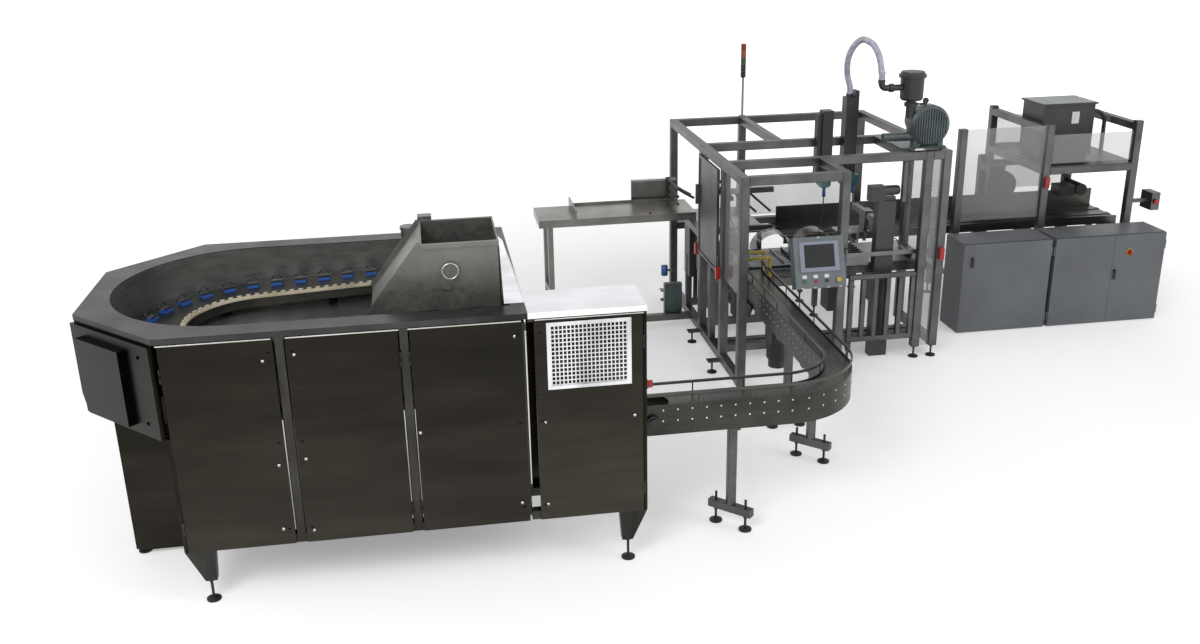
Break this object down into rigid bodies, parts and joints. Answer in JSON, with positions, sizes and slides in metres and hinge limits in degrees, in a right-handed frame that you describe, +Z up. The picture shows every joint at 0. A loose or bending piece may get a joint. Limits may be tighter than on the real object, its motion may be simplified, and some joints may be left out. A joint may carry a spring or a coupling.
{
  "type": "bottle case packing line",
  "caption": "Bottle case packing line: carousel bottle feeder, curved conveyor, framed pick-and-place packer, case magazine and tape sealer with cabinets.",
  "frame": {"origin": "middle of the line's footprint, on the floor", "axes": "+X along the line from the feeder to the sealing end, +Z up, front faces -Y"},
  "size_m": [9.6594, 5.3339, 2.9306],
  "materials": {
    "dark_steel": "fine vertical grain, satin",
    "bright_steel": "rolled sheet, satin",
    "aluminium": "machined, satin",
    "brass_rail": "gloss",
    "black_coat": "satin powder coat",
    "white_coat": "satin powder coat",
    "grey_coat": "satin powder coat",
    "blue_grey_coat": "gloss paint on castings",
    "cabinet_coat": "orange-peel powder coat",
    "trafo_coat": "satin",
    "blue_plastic": "matte",
    "white_plastic": "matte",
    "red_plastic": "gloss",
    "green_plastic": "gloss",
    "yellow_plastic": "gloss",
    "black_plastic": "matte",
    "hose_plastic": "clear ribbed wall",
    "clear_sheet": "clear polycarbonate"
  },
  "bodies": {
    "line": {"feeder_frame": "dark_steel", "feeder_rim": "bright_steel", "feeder_bowl": "bright_steel", "feeder_panels": "dark_steel", "entry_arches": "brass_rail", "tower_deck": "bright_steel", "drive_grille": "white_coat", "carousel_track": "bright_steel", "carousel_pucks": "blue_plastic", "toothed_rail": "white_plastic", "hopper": "bright_steel", "hopper_gearmotor": "aluminium", "discharge_cover": "bright_steel", "levelling_feet": "black_plastic", "conveyor_plates": "dark_steel", "conveyor_chain": "bright_steel", "guide_rails": "bright_steel", "conveyor_legs": "dark_steel", "conveyor_motor": "black_coat", "packer_frame": "dark_steel", "guard_panels": "clear_sheet", "interlock_switches": "red_plastic", "machine_bed": "aluminium", "bottle_lanes": "aluminium", "lift_column": "black_coat", "case_magazine": "dark_steel", "signal_tower": "black_plastic", "blower": "blue_grey_coat", "filter_canister": "black_coat", "vacuum_hose": "hose_plastic", "hose_column": "black_coat", "cabinet_left": "cabinet_coat", "cabinet_right": "cabinet_coat", "sealer_frame": "dark_steel", "transformer": "trafo_coat", "case_conveyor": "dark_steel", "sealer_head": "black_coat"},
    "feeder_door_1": {"feeder_door_1": "dark_steel"},
    "feeder_door_2": {"feeder_door_2": "dark_steel"},
    "feeder_door_3": {"feeder_door_3": "dark_steel"},
    "feeder_door_4": {"feeder_door_4": "dark_steel"},
    "selector_knob": {"selector_knob": "red_plastic"},
    "drive_hub": {"drive_hub": "black_coat"},
    "guard_door": {"guard_door": "dark_steel"},
    "lift_carriage": {"lift_carriage": "aluminium"},
    "pick_head": {"pick_head": "aluminium"},
    "magazine_pusher": {"magazine_pusher": "black_coat"},
    "operator_panel": {"operator_panel": "grey_coat"},
    "start_button": {"start_button": "green_plastic"},
    "stop_button": {"stop_button": "red_plastic"},
    "reset_button": {"reset_button": "black_plastic"},
    "panel_estop": {"panel_estop": "yellow_plastic"},
    "cabinet_left_door": {"cabinet_left_door": "cabinet_coat"},
    "cabinet_right_door_l": {"cabinet_right_door_l": "cabinet_coat"},
    "cabinet_right_door_r": {"cabinet_right_door_r": "cabinet_coat"},
    "cabinet_left_handle": {"cabinet_left_handle": "black_coat"},
    "cabinet_right_handle": {"cabinet_right_handle": "black_coat"},
    "disconnect_knob": {"disconnect_knob": "red_plastic"},
    "tape_reel": {"tape_reel": "black_plastic"},
    "line_estop": {"line_estop": "red_plastic"}
  },
  "joints": [
    {"name": "feeder_door_1_hinge", "type": "hinge", "parent": "line", "child": "feeder_door_1", "pos_m": [-4.22116, -2.64564, 1.06], "axis": [0, 0, 1], "range_deg": [-90, 0]},
    {"name": "feeder_door_2_hinge", "type": "hinge", "parent": "line", "child": "feeder_door_2", "pos_m": [-2.83053, -2.64564, 1.06], "axis": [0, 0, 1], "range_deg": [0, 90]},
    {"name": "feeder_door_3_hinge", "type": "hinge", "parent": "line", "child": "feeder_door_3", "pos_m": [-2.77525, -2.64564, 1.06], "axis": [0, 0, 1], "range_deg": [-90, 0]},
    {"name": "feeder_door_4_hinge", "type": "hinge", "parent": "line", "child": "feeder_door_4", "pos_m": [-1.34444, -2.64564, 1.06], "axis": [0, 0, 1], "range_deg": [0, 90]},
    {"name": "selector_knob_hinge", "type": "hinge", "parent": "line", "child": "selector_knob", "pos_m": [-1.3228, -2.593, 1.235], "axis": [1, 0, 0], "range_deg": [0, 90]},
    {"name": "drive_hub_hinge", "type": "hinge", "parent": "line", "child": "drive_hub", "pos_m": [-1.2448, -2.423, 0.8925], "axis": [0, 1, 0], "continuous": true},
    {"name": "guard_door_hinge", "type": "hinge", "parent": "line", "child": "guard_door", "pos_m": [-0.0708, 0.44114, 1.4], "axis": [0, 0, 1], "range_deg": [0, 100]},
    {"name": "lift_carriage_slide", "type": "slide", "parent": "line", "child": "lift_carriage", "axis": [0, 0, 1], "range_m": [-0.04, 0.12]},
    {"name": "pick_head_slide", "type": "slide", "parent": "lift_carriage", "child": "pick_head", "axis": [0, 1, 0], "range_m": [0, 0.2]},
    {"name": "magazine_pusher_slide", "type": "slide", "parent": "line", "child": "magazine_pusher", "axis": [1, 0, 0], "range_m": [-0.7, 0]},
    {"name": "operator_panel_hinge", "type": "hinge", "parent": "line", "child": "operator_panel", "pos_m": [0.8592, -0.2615, 1.25125], "axis": [0, 0, 1], "range_deg": [0, 60]},
    {"name": "start_button_slide", "type": "slide", "parent": "operator_panel", "child": "start_button", "axis": [0, 0.9397, -0.342], "range_m": [0, 0.005], "stiffness_N_per_m": 600, "springref_m": -0.003},
    {"name": "stop_button_slide", "type": "slide", "parent": "operator_panel", "child": "stop_button", "axis": [0, 0.9397, -0.342], "range_m": [0, 0.005], "stiffness_N_per_m": 600, "springref_m": -0.003},
    {"name": "reset_button_slide", "type": "slide", "parent": "operator_panel", "child": "reset_button", "axis": [0, 0.9397, -0.342], "range_m": [0, 0.005], "stiffness_N_per_m": 600, "springref_m": -0.003},
    {"name": "panel_estop_slide", "type": "slide", "parent": "operator_panel", "child": "panel_estop", "axis": [0, 0.9397, -0.342], "range_m": [0, 0.005], "stiffness_N_per_m": 600, "springref_m": -0.003},
    {"name": "cabinet_left_door_hinge", "type": "hinge", "parent": "line", "child": "cabinet_left_door", "pos_m": [3.42356, 0.888, 0.457], "axis": [0, 0, 1], "range_deg": [0, 90]},
    {"name": "cabinet_right_door_l_hinge", "type": "hinge", "parent": "line", "child": "cabinet_right_door_l", "pos_m": [3.45084, 0.888, 0.457], "axis": [0, 0, 1], "range_deg": [-90, 0]},
    {"name": "cabinet_right_door_r_hinge", "type": "hinge", "parent": "line", "child": "cabinet_right_door_r", "pos_m": [4.63556, 0.888, 0.457], "axis": [0, 0, 1], "range_deg": [0, 90]},
    {"name": "cabinet_left_handle_hinge", "type": "hinge", "parent": "cabinet_left_door", "child": "cabinet_left_handle", "pos_m": [2.5936, 0.877, 0.76776], "axis": [0, 1, 0], "range_deg": [0, 90]},
    {"name": "cabinet_right_handle_hinge", "type": "hinge", "parent": "cabinet_right_door_r", "child": "cabinet_right_handle", "pos_m": [4.11215, 0.877, 0.5484], "axis": [0, 1, 0], "range_deg": [-90, 0]},
    {"name": "disconnect_knob_hinge", "type": "hinge", "parent": "cabinet_right_door_r", "child": "disconnect_knob", "pos_m": [4.24736, 0.87, 0.7312], "axis": [0, 1, 0], "range_deg": [0, 90]},
    {"name": "tape_reel_hinge", "type": "hinge", "parent": "line", "child": "tape_reel", "pos_m": [3.38888, 1.9405, 1.21], "axis": [0, 1, 0], "continuous": true},
    {"name": "line_estop_slide", "type": "slide", "parent": "line", "child": "line_estop", "axis": [0, 1, 0], "range_m": [0, 0.005], "stiffness_N_per_m": 600, "springref_m": -0.003}
  ]
}
